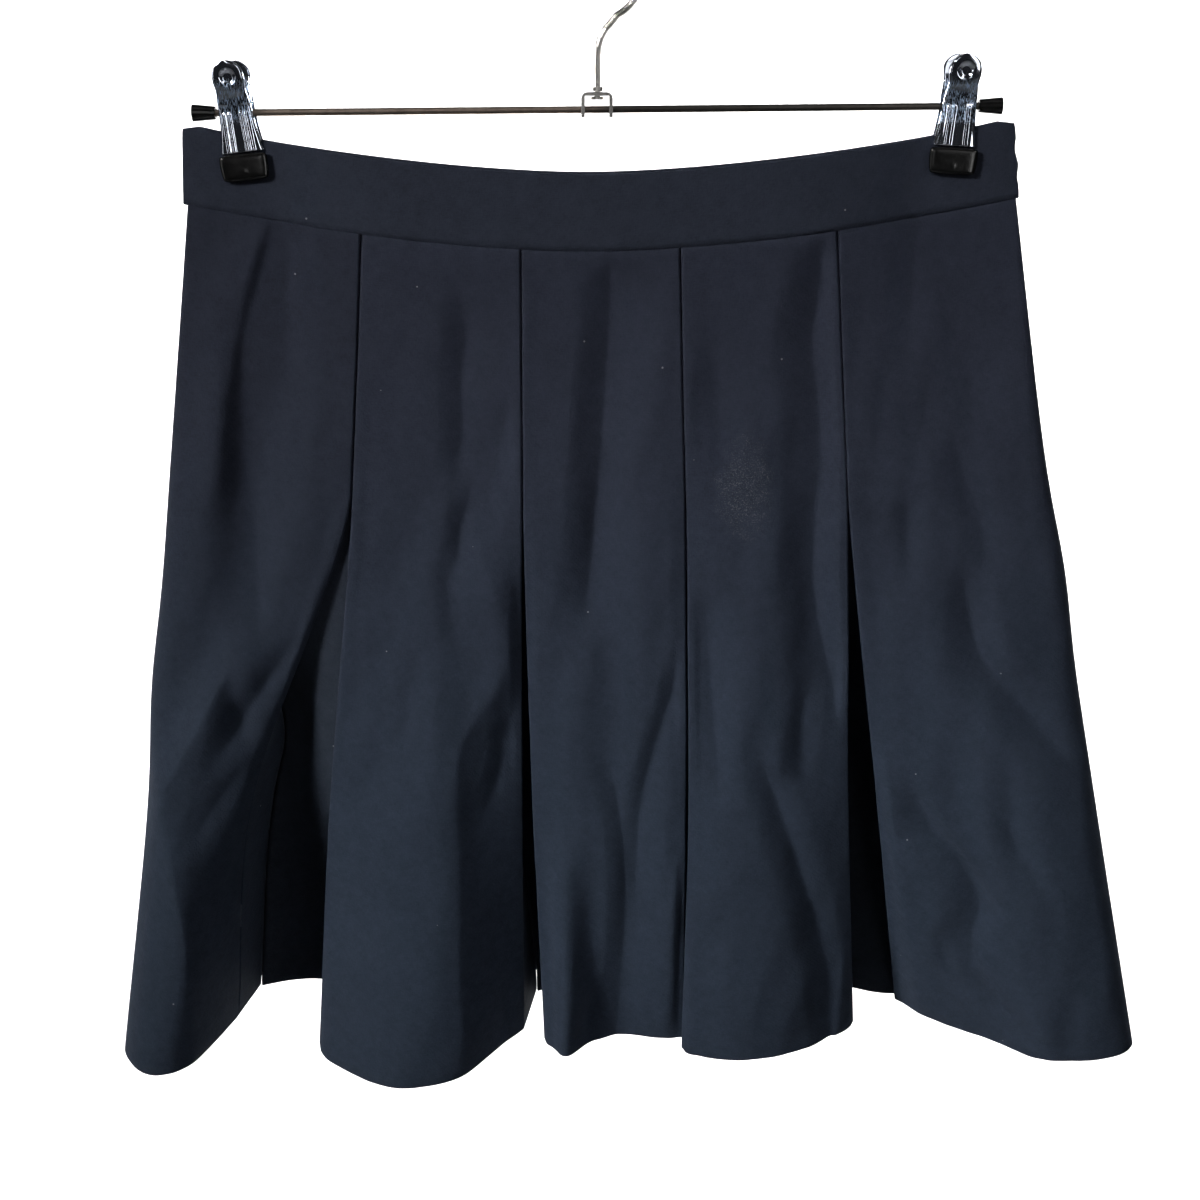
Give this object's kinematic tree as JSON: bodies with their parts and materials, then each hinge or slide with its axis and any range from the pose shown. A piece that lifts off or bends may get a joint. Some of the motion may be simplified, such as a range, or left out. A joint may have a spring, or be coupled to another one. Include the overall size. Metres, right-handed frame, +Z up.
{
  "type": "box-pleated short skirt on a clip hanger",
  "caption": "Short navy skirt with a shaped waistband and stitched-down inverted box pleats, hanging from a chromed two-clip hanger.",
  "frame": {"origin": "inside top of the hook, where the hanger rests on a rail", "axes": "+X across the skirt towards the wearer's left, +Y towards the back, +Z up; the front faces -Y"},
  "size_m": [0.5978, 0.1524, 0.6203],
  "materials": {
    "suiting": "matte fine twill",
    "pleat_suiting": "matte fine twill",
    "band_suiting": "matte fine twill",
    "chromed_steel": "polished",
    "black_rubber": "matte"
  },
  "bodies": {
    "root": {"front_panel_1": "suiting", "front_panel_2": "suiting", "front_panel_3": "suiting", "front_panel_4": "suiting", "front_panel_5": "suiting", "back_panel_1": "suiting", "back_panel_2": "suiting", "back_panel_3": "suiting", "back_panel_4": "suiting", "back_panel_5": "suiting", "front_underlay_1": "pleat_suiting", "front_underlay_2": "pleat_suiting", "front_underlay_3": "pleat_suiting", "front_underlay_4": "pleat_suiting", "back_underlay_1": "pleat_suiting", "back_underlay_2": "pleat_suiting", "back_underlay_3": "pleat_suiting", "back_underlay_4": "pleat_suiting", "waistband_front": "band_suiting", "waistband_back": "band_suiting", "bar": "chromed_steel", "bracket": "chromed_steel", "hook": "chromed_steel", "clip_left_front_plate": "chromed_steel", "clip_left_back_plate": "chromed_steel", "clip_left_pivot": "chromed_steel", "clip_right_front_plate": "chromed_steel", "clip_right_back_plate": "chromed_steel", "clip_right_pivot": "chromed_steel", "clip_left_front_tip": "black_rubber", "clip_left_back_tip": "black_rubber", "clip_right_front_tip": "black_rubber", "clip_right_back_tip": "black_rubber", "end_cap_left": "black_rubber", "end_cap_right": "black_rubber"}
  },
  "joints": []
}
